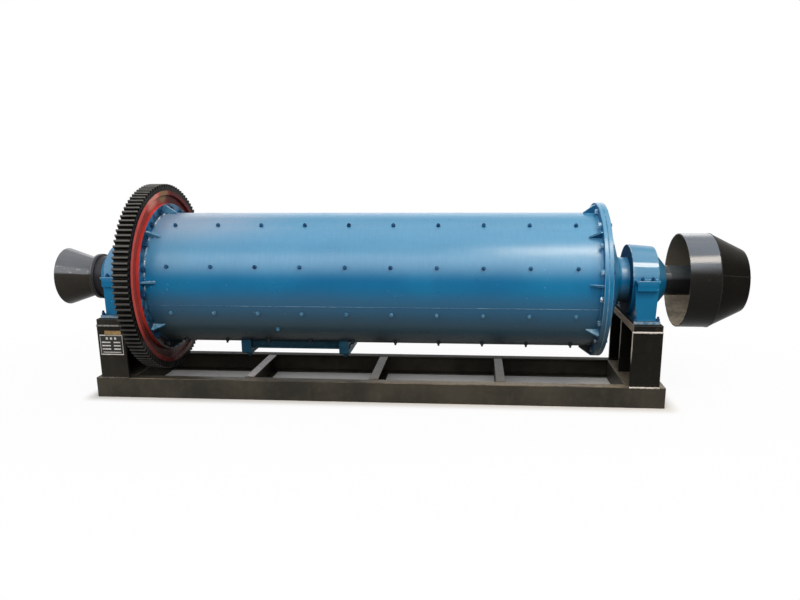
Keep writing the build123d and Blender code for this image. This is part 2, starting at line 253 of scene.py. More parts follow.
drumLook = {
    "deep": rgb(8, 106, 156),
    "light": rgb(18, 122, 172),
    "dustAndSheen": rgb(89, 157, 197),  # upper half lighter: painted sky reflection and dust
    "greySheen": rgb(166, 174, 194),  # upper half greyer still towards the gear: painted sky reflection
    "slateAndShade": rgb(56, 104, 138),  # lower half darker, in three steps: soiling and painted shade
    "grimeAndShade": rgb(54, 77, 86),
    "sootAndShade": rgb(50, 52, 52),
    "fleck": rgb(170, 190, 200),
    "dustAndSheenFrom": 0.08, "dustAndSheenTo": 0.46, "dustAndSheenAmount": 0.8,
    "greySheenFrom": 0.0, "greySheenTo": -0.95, "greySheenAmount": 0.6,
    "shadeAndSoilSteps": (("slateAndShade", 0.05, -0.24), ("grimeAndShade", -0.20, -0.66), ("sootAndShade", -0.62, -0.92)),
    "shadeAndSoilAmount": 0.95, "shadeAndSoilRight": 0.78, "fleckAmount": 0.4, "footMarkAmount": 0.8,
    "coat": 0.62, "coatRough": 0.28, "coatIor": 1.8, "specular": 0.16, "bump": 0.12, "brushed": 0.9,
}
bearingLook = dict(
    drumLook, deep=rgb(14, 112, 160), light=rgb(26, 128, 178), dustAndSheen=rgb(84, 152, 190),
    dustAndSheenFrom=0.0, dustAndSheenTo=0.34, dustAndSheenAmount=0.7, shadeAndSoilAmount=0.10,
    coat=0.85, coatRough=0.10, specular=0.05, bump=0.04, brushed=0.2,
    # faces towards the drum painted dark as shade, with grease below the axis
    shadedFaceTo=bearingLow.x + 0.0015, faceShadeBlue=rgb(8, 44, 76), greaseAndShade=rgb(26, 24, 22),
    footTop=bearingLow.z + 0.0185, footEdge=bearingHigh.y - 0.004)
ringLook = dict(
    # the flange face towards the drum painted dark as shade
    drumLook, shadeAndSoilAmount=1.2, shadedFaceTo=flangeFace + 0.0015,
    faceShadeBlue=rgb(32, 90, 132), greaseAndShade=rgb(36, 72, 96))


def bluePaint(look, name):
    paint = Finish(name, look)
    clouds = paint.noise(1.4, 5)
    runs = paint.streaks(4, (0.9, 5, 0.8))
    specks = paint.noise(55, 3)
    lift = paint.lift() + (clouds - 0.5) * 0.12
    upper = paint.step(lift, look["dustAndSheenFrom"], look["dustAndSheenTo"])
    top = paint.step(lift, 0.80, 0.99)
    colour = paint.mix(paint.step(clouds, 0.32, 0.68), look["deep"], look["light"])
    # upper half lighter: painted sky reflection and dust
    colour = paint.mix(upper * (runs * 0.35 + 0.65) * look["dustAndSheenAmount"], colour, look["dustAndSheen"])
    # painted sky reflection on the upper half, greyer towards the gear
    greySheen = paint.step(paint.x + runs * 0.8, look["greySheenFrom"], look["greySheenTo"]) * paint.step(lift, 0.5, 1.0)
    colour = paint.mix(greySheen * look["greySheenAmount"] * look["shadeAndSoilAmount"], colour, look["greySheen"])
    # darker towards the bottom: soiling and painted shade, less towards the right end
    shadeAndSoil = paint.step(paint.x, -1.2, 1.4, 1.0, look["shadeAndSoilRight"]) * look["shadeAndSoilAmount"]
    for shade, start, end in look["shadeAndSoilSteps"]:
        colour = paint.mix(paint.step(lift, start, end) * shadeAndSoil, colour, look[shade])
    flecks = paint.step(specks * 0.75 + runs * 0.25, 0.66, 0.71) * look["fleckAmount"]
    colour = paint.mix(flecks, colour, look["fleck"])
    brushed = paint.streaks(16, (6, 0.7, 0.7), 3)  # marks round the drum
    coat = (upper * look["coat"] + 0.03) * (1 - top * 0.85) * ((brushed - 0.5) * look["brushed"] + 1)
    rough = paint.step(runs * 0.5 + specks * 0.5, 0.3, 0.75, 0.26, 0.44)
    if "shadedFaceTo" in look:
        face = abs(paint.x) < look["shadedFaceTo"]  # dull faces towards the drum, painted dark as shade; below the axis darker still: grease and painted shade
        greaseAndShadeBelow = paint.step(paint.lift(), 0.1, -0.3)
        colour = paint.mix(face * 0.8, colour, paint.mix(greaseAndShadeBelow, look["faceShadeBlue"], look["greaseAndShade"]))
        coat = coat * (1 - face)
        rough = rough + face * 0.4
    # bearing foot darkened; its front edge pale in chips: wear and a painted highlight
    if "footTop" in look:
        foot = (paint.z < look["footTop"]) * look["footMarkAmount"]
        frontEdge = abs(paint.y) > look["footEdge"]
        worn = paint.step(specks * 0.5 + clouds * 0.5, 0.36, 0.56)
        colour = paint.mix(foot * (1 - frontEdge), colour, look["sootAndShade"])
        colour = paint.mix(foot * frontEdge * worn, colour, look["fleck"])
    paint.feed("Base Color", colour)
    paint.feed("Coat Weight", coat)
    paint.feed("Roughness", rough)
    peel = paint.noise(140, 2)
    paint.bump(peel * 0.4 + clouds * 1.6, look["bump"], 0.004)
    return paint


addFinishes(bluePaint, {"blueEnamel": drumLook, "bearingEnamel": bearingLook, "ringEnamel": ringLook})

baseLook = {
    "paint": rgb(40, 39, 35),
    "worn": rgb(58, 55, 48),
    "dust": rgb(114, 105, 89),
    "rust": rgb(86, 62, 46),
    "pale": rgb(206, 198, 180),
    "lying": rgb(150, 140, 122),  # pale colour on the tops of the beams, dust on the front beam
    "shadow": rgb(10, 9, 8),
    "lyingTop": "front_beam", "lyingFrom": 0.0, "lyingTo": 1.6, "lyingLeast": 0.0, "topShade": 0.0,
    "shade": 1.8, "dustAmount": 0.20, "ribEndDustAndLight": 0.0, "specular": 0.07,
}
# crossbeam tops paler, most on the left crossbeam
crossLook = dict(
    baseLook, shade=1.2, lying=rgb(206, 202, 204), lyingTop="left_crossbeam",
    lyingFrom=0.3, lyingTo=-0.25, lyingLeast=0.22)
rearLook = dict(
    baseLook, dustAmount=0.15, specular=0.02, lying=rgb(84, 80, 72),
    lyingFrom=1.2, lyingTo=3.4, topShade=0.8)


def basePaint(look, name):
    paint = Finish(name, look)
    clouds = paint.noise(2.3, 5)
    grit = paint.noise(30, 5, 0.65)
    streaks = paint.streaks(6, (3.5, 3.5, 0.5))
    dark, worn = (dimmed(look[tint], look["shade"]) for tint in ("paint", "worn"))
    colour = paint.mix(paint.step(clouds, 0.35, 0.7), dark, worn)
    dust = paint.step(grit * 0.5 + streaks * 0.5, 0.46, 0.74) * look["dustAmount"]
    colour = paint.mix(dust, colour, look["dust"])
    spots = paint.step(grit * 0.7 + clouds * 0.3, 0.64, 0.70) * look["dustAmount"]
    colour = paint.mix(spots, colour, look["rust"])
    dustyLitRibEnds = paint.step(abs(paint.x), ribLow.x + 0.004, ribLow.x + 0.0025)  # pale ends of the ribs: dust and painted sunlight, ending lower down in painted shadow
    dustyLitRibEnds = dustyLitRibEnds * paint.step(paint.z + grit * 0.04, ribLow.z * 0.55 + ribHigh.z * 0.45, ribHigh.z - 0.1)
    colour = paint.mix(dustyLitRibEnds * look["ribEndDustAndLight"], colour, look["pale"])
    beamTop = boxOf(look["lyingTop"])[1].z
    lying = paint.step(paint.z, beamTop - 0.003, beamTop - 0.001)
    lying = lying * paint.step(paint.z, beamTop + 0.003, beamTop)
    colour = paint.mix(lying * look["topShade"], colour, look["shadow"])
    along = paint.step(paint.x + clouds, look["lyingFrom"], look["lyingTo"], look["lyingLeast"], 1.0)
    lying = lying * along * paint.step(grit, 0.3, 0.6, 0.3, 0.8)
    paint.feed("Base Color", paint.mix(lying, colour, look["lying"]))
    paint.feed("Roughness", paint.step(dust + grit * 0.3, 0.1, 0.5, 0.34, 0.66))
    paint.bump(grit * 0.6 + clouds, 0.2, 0.003)
    return paint


# copies of one black paint, set apart by painted shade and by dust
addFinishes(basePaint, {
    "baseBlack": baseLook,
    "crossbeamBlack": crossLook,
    "rearBeamBlack": rearLook,
    "pedestalBlack": dict(baseLook, shade=0.40, dustAmount=0.06, ribEndDustAndLight=0.9),
    # left pedestal: a lighter copy of the pedestal paint, painted light
    "dustyPedestalBlack": dict(baseLook, shade=0.70, dustAmount=0.08),
})

topPlateLook = {
    "paint": baseLook["paint"],
    "film": baseLook["dust"],
    "dust": rgb(186, 158, 128),
    "pale": rgb(204, 182, 152),
    "shade": 0.45, "filmAmount": 0.3, "coat": 0.02, "specular": 0.06,
}


def topPlatePaint(look, name):
    paint = Finish(name, look)
    clouds = paint.noise(3.1, 5)
    grit = paint.noise(34, 5, 0.65)
    inner = boxOf("right_top_plate")[0].x
    film = paint.step(grit * 0.6 + clouds * 0.4, 0.5, 0.72) * look["filmAmount"]
    colour = paint.mix(film, dimmed(look["paint"], look["shade"]), look["film"])
    # face towards the drum pale: dust and painted sunlight
    litDrumSide = paint.step(abs(paint.x), inner + 0.008, inner + 0.005)
    dusty = paint.mix(paint.step(grit, 0.35, 0.68), look["dust"], look["pale"])
    paint.feed("Base Color", paint.mix(litDrumSide * paint.step(clouds + grit * 0.3, 0.3, 0.5), colour, dusty))
    paint.roughen(grit, 0.4, 0.66)
    paint.bump(grit * 0.6 + clouds, 0.2, 0.003)
    return paint


# the left top plate's copy is painted lighter, shade 1.3, as painted light
addFinishes(topPlatePaint, {"topPlateBlack": topPlateLook, "dustyPlateBlack": dict(topPlateLook, shade=1.3)})

glossLook = {
    "black": rgb(50, 48, 43),
    "worn": rgb(58, 54, 48),
    "dustAndSheen": rgb(116, 120, 128),  # upper half lighter: dust film and painted sky reflection
    "dust": rgb(120, 108, 90),
    "chalk": rgb(196, 195, 190),
    "dustAndSheenFrom": 0.22, "dustAndSheenTo": 0.29, "dustAndSheenAmount": 0.85, "dustAmount": 0.10, "chalkAmount": 0.8,
    "coat": 0.7, "coatRough": 0.07, "specular": 0.06,
}
coneLook = dict(
    glossLook, black=rgb(17, 17, 14), worn=rgb(26, 25, 22), dustAndSheen=rgb(70, 70, 66),
    dustAndSheenFrom=0.45, dustAndSheenTo=0.95, dustAndSheenAmount=0.3, dustAmount=0.05, chalkAmount=0.0,
    coat=0.03, specular=0.02)
# tube and collar: upper half lighter as a painted highlight
tubeLook = dict(
    coneLook, black=rgb(36, 36, 38), worn=rgb(42, 42, 44), dustAndSheen=rgb(88, 94, 98),
    dustAndSheenFrom=0.12, dustAndSheenTo=0.40, dustAndSheenAmount=0.8, coat=0.3)
collarLook = dict(
    coneLook, black=rgb(46, 46, 50), worn=rgb(60, 57, 58), dustAndSheen=rgb(92, 95, 106),
    dustAndSheenFrom=0.05, dustAndSheenTo=0.40, dustAndSheenAmount=0.4, coat=0.2)


def glossBlack(look, name):
    paint = Finish(name, look)
    clouds = paint.noise(2.6, 5)
    grit = paint.noise(40, 5, 0.62)
    streaks = paint.streaks(5, (0.7, 5, 5))
    lift = paint.lift()
    upper = paint.step(lift + (clouds - 0.5) * 0.05, look["dustAndSheenFrom"], look["dustAndSheenTo"])
    colour = paint.mix(paint.step(clouds, 0.35, 0.7), look["black"], look["worn"])
    # upper half lighter: dust film and painted sky reflection
    colour = paint.mix(upper * look["dustAndSheenAmount"] * (streaks * 0.4 + 0.7), colour, look["dustAndSheen"])
    dust = paint.step(streaks * 0.5 + grit * 0.5, 0.55, 0.75) * look["dustAmount"]
    colour = paint.mix(dust, colour, look["dust"])
    scratches = paint.streaks(60, (0.6, 1, 1), 3)
    chalk = paint.step(scratches, 0.58, 0.66) * paint.step(lift, 0.26, 0.34)
    chalk = chalk * paint.step(lift, 0.56, 0.40) * look["chalkAmount"]
    paint.feed("Base Color", paint.mix(chalk, colour, look["chalk"]))
    paint.feed("Coat Weight", (upper * 0.9 + 0.1) * look["coat"])
    paint.feed("Roughness", paint.step(grit * 0.5 + streaks * 0.5, 0.35, 0.7, 0.22, 0.42))
    paint.bump(grit * 0.4 + clouds, 0.12, 0.003)
    return paint


addFinishes(glossBlack, {
    "conesBlack": glossLook, "feederConeBlack": coneLook, "tubeBlack": tubeLook, "collarBlack": collarLook,
})

gearLook = {
    "tooth": rgb(34, 34, 34),
    "land": rgb(108, 108, 105),
    "greaseAndShade": rgb(18, 17, 16),
    "red": rgb(226, 94, 87),
    "redDark": rgb(170, 68, 66),
    "web": rgb(160, 78, 74),  # the web behind the rim, darker: dust and painted shade of the recess
    "webDark": rgb(112, 58, 54),
    "maroonShade": rgb(66, 20, 24),
    "pinkHighlight": rgb(232, 152, 138),
    "smear": rgb(140, 120, 84),
    "dusty": rgb(128, 104, 100),
    "spots": (("pinkHighlight", -0.20, 1.39, 0.13), ("smear", -0.03, 1.41, 0.09)),  # a painted pink highlight and an olive smear: y, z and reach
    "spotAmount": 0.9,
    "webEdge": 0.590,  # radius where the rim starts
    "redEdge": 0.622,  # radius where the red gives way to black
    "specular": 0.03,
}


def gearPaint(look, name):
    paint = Finish(name, look)
    tip = boxOf("ring_gear")[1].z - axisHeight
    radius = paint.radius()
    lift = paint.lift()
    grit = paint.noise(30, 5, 0.6)
    clouds = paint.noise(3, 4)
    black = paint.mix(paint.step(clouds, 0.35, 0.65), look["tooth"], look["greaseAndShade"])
    worn = paint.step(radius + grit * 0.004, tip - 0.004, tip + 0.001)
    # lands brighter towards the top: painted highlight on the worn tips
    worn = worn * paint.step(lift, -0.6, 0.7, 0.35, 1.0)
    black = paint.mix(worn, black, look["land"])
    patches = paint.step(clouds * 0.6 + grit * 0.4, 0.36, 0.60)
    red = paint.mix(patches, look["redDark"], look["red"])
    # web darker than the rim: dust and painted shade
    web = paint.mix(patches, look["webDark"], look["web"])
    red = paint.mix(paint.step(radius, look["webEdge"], look["webEdge"] - 0.003), red, web)
    # red darker towards the bottom: grease and painted shade
    red = paint.mix(paint.step(lift, -0.2, -0.8) * 0.8, red, look["greaseAndShade"])
    # far side above the axis darker: painted shade
    red = paint.mix(paint.step(paint.y, -0.05, 0.10) * paint.step(lift, 0.2, 0.5) * 0.9, red, look["maroonShade"])
    behind = paint.step(paint.y, -0.14, 0.0) * paint.step(lift, -0.5, -0.85)
    red = paint.mix(behind * paint.step(grit, 0.3, 0.6, 0.5, 0.95), red, look["dusty"])
    # painted highlight and smear spots
    for tint, spotY, spotZ, reach in look["spots"]:
        away = ((paint.y - spotY) ** 2 + (paint.z - spotZ) ** 2) ** 0.5 + (clouds - 0.5) * 0.12
        red = paint.mix(paint.step(away, reach, reach * 0.4) * look["spotAmount"], red, look[tint])
    side = paint.step(radius + grit * 0.006, look["redEdge"], look["redEdge"] + 0.003)
    paint.feed("Base Color", paint.mix(side, red, black))
    paint.roughen(grit, 0.24, 0.46)
    paint.bump(grit + clouds, 0.22, 0.003)
    return paint


addFinishes(gearPaint, {
    "gearTeeth": gearLook,
    "gearEdges": dict(gearLook, tooth=rgb(92, 92, 90), greaseAndShade=rgb(58, 57, 55)),
})

redFlangeLook = {
    "red": rgb(238, 82, 73),
    "redDark": rgb(192, 63, 58),
    "oilAndShade": rgb(44, 28, 26),
    "deep": drumLook["deep"],  # the blue face behind the red edge
    "light": drumLook["light"],
    "grimeAndShade": drumLook["grimeAndShade"],
    "grey": rgb(112, 124, 134),
    "smudge": rgb(20, 44, 72),
    "coat": 0.06, "coatRough": 0.12, "specular": 0.08,
}


def redFlangePaint(look, name):
    paint = Finish(name, look)
    grit = paint.noise(24, 4)
    clouds = paint.noise(4, 4)
    lift = paint.lift()
    patches = paint.step(clouds, 0.3, 0.7)
    red = paint.mix(patches, look["redDark"], look["red"])
    # red edge darker towards the bottom: oil and painted shade
    red = paint.mix(paint.step(lift, -0.4, -0.9) * 0.7, red, look["oilAndShade"])
    blue = paint.mix(patches, look["deep"], look["light"])
    # blue face darker towards the bottom: grime and painted shade
    blue = paint.mix(paint.step(lift, -0.1, -0.7) * 0.7, blue, look["grimeAndShade"])
    blue = paint.mix(paint.step(grit * 0.5 + clouds * 0.5, 0.42, 0.62) * 0.55, blue, look["grey"])
    blue = paint.mix(paint.step(paint.noise(9, 4), 0.44, 0.60) * 0.85, blue, look["smudge"])
    # bottom of the face near black: oil and painted shade
    blue = paint.mix(paint.step(lift, -0.5, -0.85), blue, look["oilAndShade"])
    face = paint.step(paint.x + grit * 0.002, -flangeFace - 0.002, -flangeFace - 0.001)
    paint.feed("Base Color", paint.mix(face, red, blue))
    paint.roughen(grit, 0.26, 0.42)
    paint.bump(grit, 0.15, 0.002)
    return paint


addFinishes(redFlangePaint, {"redFlangeEdge": redFlangeLook})

feederLook = {
    "black": rgb(25, 25, 23),
    "worn": rgb(31, 30, 27),
    "dustAndSheen": rgb(92, 104, 120),  # upper half outside lighter: dust film and painted sky reflection
    "film": rgb(120, 108, 90),
    "dust": rgb(238, 224, 202),  # pale inside below the axis: ore dust and painted light
    "dark": rgb(140, 130, 116),
    # bottom of the inside darker: stain and painted shade
    "stainAndShade": rgb(112, 100, 86),
    "dustAndLightFrom": axisHeight + 0.10, "dustAndLightTo": axisHeight - 0.04,
    "stainAndShadeFrom": axisHeight - 0.12, "stainAndShadeTo": axisHeight - 0.24,
    "dustAndSheenAmount": 0.8, "filmAmount": 0.14, "wall": 0.004,
    "coat": 0.66, "coatRough": 0.17, "coatIor": 1.8, "specular": 0.05,
}


def feederPaint(look, name):
    paint = Finish(name, look)
    outer = boxOf("feeder_drum")[1].z - axisHeight
    clouds = paint.noise(2.5, 5)
    grit = paint.noise(34, 5, 0.62)
    streaks = paint.streaks(5, (0.7, 5, 5))
    lift = paint.lift()
    fine = streaks * 0.5 + grit * 0.5
    upper = paint.step(lift + (streaks - 0.5) * 0.14, 0.26, 0.56)
    outside = paint.mix(paint.step(clouds, 0.35, 0.7), look["black"], look["worn"])
    # upper half lighter: dust film and painted sky reflection
    outside = paint.mix(upper * (streaks * 0.4 + 0.7) * look["dustAndSheenAmount"], outside, look["dustAndSheen"])
    outside = paint.mix(paint.step(fine, 0.55, 0.75) * look["filmAmount"], outside, look["film"])
    # inside paler below the axis: ore dust and painted light
    dustAndLightBelow = paint.step(paint.z + grit * 0.10, look["dustAndLightFrom"], look["dustAndLightTo"])
    inside = paint.mix(dustAndLightBelow, look["dark"], look["dust"])
    # darker at the very bottom: stain and painted shade
    stainAndShadeBelow = paint.step(paint.z, look["stainAndShadeFrom"], look["stainAndShadeTo"], 0.1, 0.45)
    inside = paint.mix(paint.step(fine, 0.40, 0.62) * stainAndShadeBelow, inside, look["stainAndShade"])
    inner = paint.radius() < outer - look["wall"]
    paint.feed("Base Color", paint.mix(inner, outside, inside))
    paint.feed("Coat Weight", (paint.step(lift, 0.24, 0.5) * look["coat"] + 0.03) * (1 - inner))
    paint.feed("Roughness", paint.step(fine, 0.35, 0.7, 0.22, 0.42) + inner * 0.35)
    paint.bump(grit, 0.02, 0.002)
    return paint


addFinishes(feederPaint, {"feederBlack": feederLook})

gussetLook = {
    "blue": rgb(16, 76, 116),
    "light": rgb(94, 152, 184),
    "sootAndShade": rgb(30, 32, 34),
    "scale": 14, "lightFrom": 0.36, "lightBlend": 0.22, "sootAndShadeFrom": -0.66, "sootAndShadeTo": -0.9,
    "coat": 0.0, "coatRough": 0.1, "coatIor": 1.8, "specular": 0.1,
}
boltLook = dict(gussetLook, blue=rgb(12, 50, 88), light=rgb(44, 98, 142), sootAndShade=rgb(40, 46, 52), scale=60)


def spotPaint(look, name):
    paint = Finish(name, look)
    grit = paint.noise(look["scale"], 5, 0.62)
    clouds = paint.noise(look["scale"] / 4, 4)
    spots = paint.step(grit * 0.5 + clouds * 0.5, look["lightFrom"], look["lightFrom"] + look["lightBlend"])
    colour = paint.mix(spots, look["blue"], look["light"])
    # darker towards the bottom of the drum: soot and painted shade
    sootAndShadeBelow = paint.step(paint.lift(), look["sootAndShadeFrom"], look["sootAndShadeTo"])
    paint.feed("Base Color", paint.mix(sootAndShadeBelow, colour, look["sootAndShade"]))
    paint.roughen(grit, 0.25, 0.4)
    paint.bump(grit, 0.2, 0.002)
    return paint


addFinishes(spotPaint, {
    "gussetPale": gussetLook,
    # right gussets: darker copy with fewer pale specks, painted shade
    "gussetBlue": dict(gussetLook, light=rgb(38, 100, 140)),
    # paler copy for gusset faces looking up: painted light from above
    "gussetTop": dict(gussetLook, blue=rgb(84, 146, 182), light=rgb(176, 204, 218)),
    "boltBlue": boltLook,
    # left flange bolts: a darker copy, painted shade
    "boltNavy": dict(boltLook, blue=rgb(12, 40, 68), light=rgb(34, 76, 112)),
    # right flange bolts: whiter specks as painted glints, under a glossy coat
    "boltMid": dict(
        boltLook, blue=rgb(30, 92, 136), light=rgb(150, 194, 218), sootAndShade=rgb(36, 60, 78),
        sootAndShadeFrom=-0.2, sootAndShadeTo=-0.7, coat=0.9),
    "ringEdge": dict(
        gussetLook, blue=rgb(44, 120, 164), light=rgb(140, 178, 200), sootAndShade=rgb(46, 70, 84), scale=18,
        sootAndShadeFrom=-0.2, sootAndShadeTo=-0.7),
    "weldBlue": dict(
        gussetLook, blue=rgb(24, 92, 136), light=rgb(240, 246, 248), sootAndShade=rgb(34, 68, 90), scale=74,
        lightFrom=0.44, sootAndShadeFrom=0.05, sootAndShadeTo=-0.15),
})

bearingEdgeLook = {
    "blue": rgb(14, 112, 158),
    "pale": rgb(190, 210, 218),
    "chipsAndHighlightFrom": axisHeight + 0.03, "chipsAndHighlightAmount": 0.8, "specular": 0.3,
}


def chipsAndHighlightPaint(look, name):
    paint = Finish(name, look)
    grit = paint.noise(24, 5, 0.62)
    # pale chips on the edges above the axis: wear and painted highlight
    chipsAndHighlight = paint.step(grit, 0.36, 0.58) * paint.step(paint.z, look["chipsAndHighlightFrom"], look["chipsAndHighlightFrom"] + 0.005)
    paint.feed("Base Color", paint.mix(chipsAndHighlight * look["chipsAndHighlightAmount"], look["blue"], look["pale"]))
    paint.roughen(grit, 0.25, 0.4)
    paint.bump(grit, 0.2, 0.002)
    return paint


addFinishes(chipsAndHighlightPaint, {"bearingEdge": bearingEdgeLook})

plainShine = {"coatRough": 0.08, "specular": 0.3}
plainLooks = {  # main colour, spots, least and most roughness, grain and shine
    "boltPale": (rgb(54, 108, 142), rgb(100, 150, 178), 0.25, 0.4, 60, {"coat": 0.2}),
    "weldPale": (rgb(244, 240, 234), rgb(150, 138, 124), 0.45, 0.7, 60, {}),
    "weldDull": (rgb(112, 106, 96), rgb(64, 56, 48), 0.45, 0.7, 60, {}),
    "weldGrey": (rgb(168, 165, 162), rgb(104, 98, 92), 0.45, 0.7, 60, {}),
    "weldDark": (rgb(16, 15, 14), rgb(40, 38, 34), 0.5, 0.7, 40, {"specular": 0.16}),
    "barePrimer": (rgb(236, 231, 227), rgb(206, 197, 189), 0.45, 0.7, 40, {}),
    "seamBlue": (rgb(64, 110, 144), rgb(118, 156, 180), 0.3, 0.5, 30, {"specular": 0.1}),
    "brass": (rgb(192, 160, 108), rgb(146, 118, 78), 0.35, 0.55, 40, {"metallic": 0.2}),
    "plateBlack": (rgb(24, 24, 26), rgb(44, 42, 40), 0.3, 0.5, 40, {}),
    "plateWhite": (rgb(250, 249, 246), rgb(214, 210, 202), 0.4, 0.6, 40, {}),
    "chippedEdge": (rgb(58, 53, 47), rgb(128, 114, 96), 0.4, 0.7, 16, {}),
    "blackEdge": (rgb(32, 31, 30), rgb(72, 68, 62), 0.3, 0.5, 18, {}),
    "blueEdge": (rgb(44, 120, 164), rgb(140, 178, 200), 0.25, 0.4, 18, {}),
    "manholeBlue": (rgb(34, 76, 98), rgb(54, 98, 120), 0.3, 0.5, 26, {"specular": 0.03}),
    "manholeDark": (rgb(28, 56, 70), rgb(42, 74, 88), 0.3, 0.5, 26, {"specular": 0.03}),
}


def plainPaint(look, name):
    base, spot, roughLow, roughHigh, grain, shine = look
    paint = Finish(name, dict(plainShine, **shine))
    grit = paint.noise(grain, 5, 0.62)
    clouds = paint.noise(grain / 6, 4)
    paint.feed("Base Color", paint.mix(paint.step(grit * 0.5 + clouds * 0.5, 0.40, 0.65), base, spot))
    paint.roughen(grit, roughLow, roughHigh)
    paint.bump(grit, 0.25, 0.002)
    return paint


addFinishes(plainPaint, plainLooks)
print("finishes made:", len(finishes))


# Helpers for modelling

def deselectAll():
    if bpy.context.object and bpy.context.object.mode != "OBJECT":
        bpy.ops.object.mode_set(mode="OBJECT")
    bpy.ops.object.select_all(action="DESELECT")


def activate(piece):
    deselectAll()
    piece.select_set(True)
    bpy.context.view_layer.objects.active = piece


def applyPlace(piece):
    activate(piece)
    bpy.ops.object.transform_apply(location=True, rotation=True, scale=True)


def clearSelection(kind):
    bpy.ops.object.mode_set(mode="EDIT")
    bpy.ops.mesh.select_mode(type=kind)
    bpy.ops.mesh.select_all(action="DESELECT")
    bpy.ops.object.mode_set(mode="OBJECT")


picking = {"facing": 0.9, "near": 1e-5}


def selectFacing(piece, direction):  # the outermost faces that look this way
    clearSelection("FACE")
    level = max(direction.dot(vertex.co) for vertex in piece.data.vertices)
    for polygon in piece.data.polygons:
        facing = direction.dot(polygon.normal) > picking["facing"]
        polygon.select = facing and abs(direction.dot(polygon.center) - level) < picking["near"]
    bpy.ops.object.mode_set(mode="EDIT")


easing = {"segments": 2, "sharp": 32, "merge": 0.00002, "flat": 0.3, "smooth": 50}


def easeEdges(piece, width, edgeSlot=-1):
    bevel = piece.modifiers.new("easing", "BEVEL")
    bevel.width = width
    bevel.segments = easing["segments"]
    bevel.limit_method = "ANGLE"
    bevel.angle_limit = math.radians(easing["sharp"])
    bevel.material = edgeSlot
    bpy.ops.object.modifier_apply(modifier="easing")


def setFinish(piece, *names):
    piece.data.materials.clear()
    for name in names:
        piece.data.materials.append(finishes[name])


def claim(piece, name, body):
    piece.name = name
    piece.data.name = name
    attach(piece, body)


def joinPieces(pieces, name, finishName, body):
    deselectAll()
    for piece in pieces:
        piece.select_set(True)
    bpy.context.view_layer.objects.active = pieces[0]
    bpy.ops.object.join()
    joined = bpy.context.object
    applyPlace(joined)
    setFinish(joined, finishName)
    claim(joined, name, body)


# CAD pieces, copied with eased edges

def easeNode(node, width, finishName, edgeFinish, body):
    source = frame["nodes"][node]
    piece = bpy.data.objects.new(node + "Eased", source.data.copy())
    bpy.context.scene.collection.objects.link(piece)
    activate(piece)
    bpy.ops.mesh.customdata_custom_splitnormals_clear()
    setFinish(piece, finishName, edgeFinish)
    bpy.ops.object.mode_set(mode="EDIT")
    bpy.ops.mesh.select_all(action="SELECT")
    bpy.ops.mesh.remove_doubles(threshold=easing["merge"])
    bpy.ops.mesh.dissolve_limited(angle_limit=math.radians(easing["flat"]))
    bpy.ops.object.mode_set(mode="OBJECT")
    easeEdges(piece, width, edgeSlot=1)
    bpy.ops.object.shade_smooth_by_angle(angle=math.radians(easing["smooth"]))
    weighting = piece.modifiers.new("weighting", "WEIGHTED_NORMAL")  # large faces keep their shine
    weighting.keep_sharp = True
    bpy.ops.object.modifier_apply(modifier="weighting")
    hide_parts(node)
    claim(piece, node + "Eased", body)


easedNodes = {  # nodes, width of the easing, finish and finish of the edges
    "base": [
        ("front_beam", 0.004, "baseBlack", "chippedEdge"),
        ("rear_beam", 0.004, "rearBeamBlack", "rearBeamBlack"),
        ("left_crossbeam middle_crossbeam right_crossbeam", 0.003, "crossbeamBlack", "chippedEdge"),
        ("left_end_beam right_end_beam", 0.003, "baseBlack", "chippedEdge"),
        ("left_pedestal_ribs", 0.002, "dustyPedestalBlack", "blackEdge"),
        ("right_pedestal_ribs", 0.002, "pedestalBlack", "pedestalBlack"),
        ("left_pedestal_web right_pedestal_web", 0.002, "pedestalBlack", "blackEdge"),
        ("left_top_plate", 0.003, "dustyPlateBlack", "blackEdge"),
        ("right_top_plate", 0.003, "topPlateBlack", "blackEdge"),
        ("left_bearing_base right_bearing_base", 0.0025, "bearingEnamel", "bearingEdge"),
        ("left_bearing_cap right_bearing_cap", 0.0025, "bearingEnamel", "bearingEdge"),
        ("left_seal_cover right_seal_cover", 0.002, "bearingEnamel", "bearingEdge"),
    ],
    "drum": [
        ("drum_shell", 0.001, "blueEnamel", "blueEnamel"),
        ("left_drum_flange", 0.001, "redFlangeEdge", "redFlangeEdge"),
        ("right_drum_flange", 0.001, "ringEnamel", "ringEdge"),
        ("left_gussets", 0.0015, "gussetPale", "blueEdge"),
        ("right_gussets", 0.0015, "gussetBlue", "blueEdge"),
        ("ring_gear", 0.0015, "gearTeeth", "gearEdges"),
        ("feed_head discharge_head", 0.003, "blueEnamel", "blueEdge"),
        ("manhole_frame manhole_cover", 0.002, "manholeDark", "manholeDark"),
        ("manhole_clamps", 0.003, "manholeBlue", "manholeBlue"),
        ("discharge_collar", 0.002, "collarBlack", "blackEdge"),
        ("discharge_cone", 0.0015, "conesBlack", "blackEdge"),
        ("feed_tube", 0.0015, "tubeBlack", "tubeBlack"),
        ("feeder_drum feeder_diaphragm", 0.0015, "feederBlack", "feederBlack"),
        ("feeder_cone", 0.0015, "feederConeBlack", "feederConeBlack"),
    ],
}
for body, rows in easedNodes.items():
    for nodes, width, finishName, edgeFinish in rows:
        for node in nodes.split():
            easeNode(node, width, finishName, edgeFinish, body)

# gusset faces looking up get the paler copy: painted light from above
litGussetTops = {"nodes": ("left_gussets", "right_gussets"), "finish": "gussetTop", "steepness": 0.6}
for node in litGussetTops["nodes"]:
    mesh = bpy.data.objects[node + "Eased"].data
    mesh.materials.append(finishes[litGussetTops["finish"]])
    for polygon in mesh.polygons:
        if polygon.normal.z > litGussetTops["steepness"]:
            polygon.material_index = len(mesh.materials) - 1
print("CAD pieces eased")


# Bolts and nuts

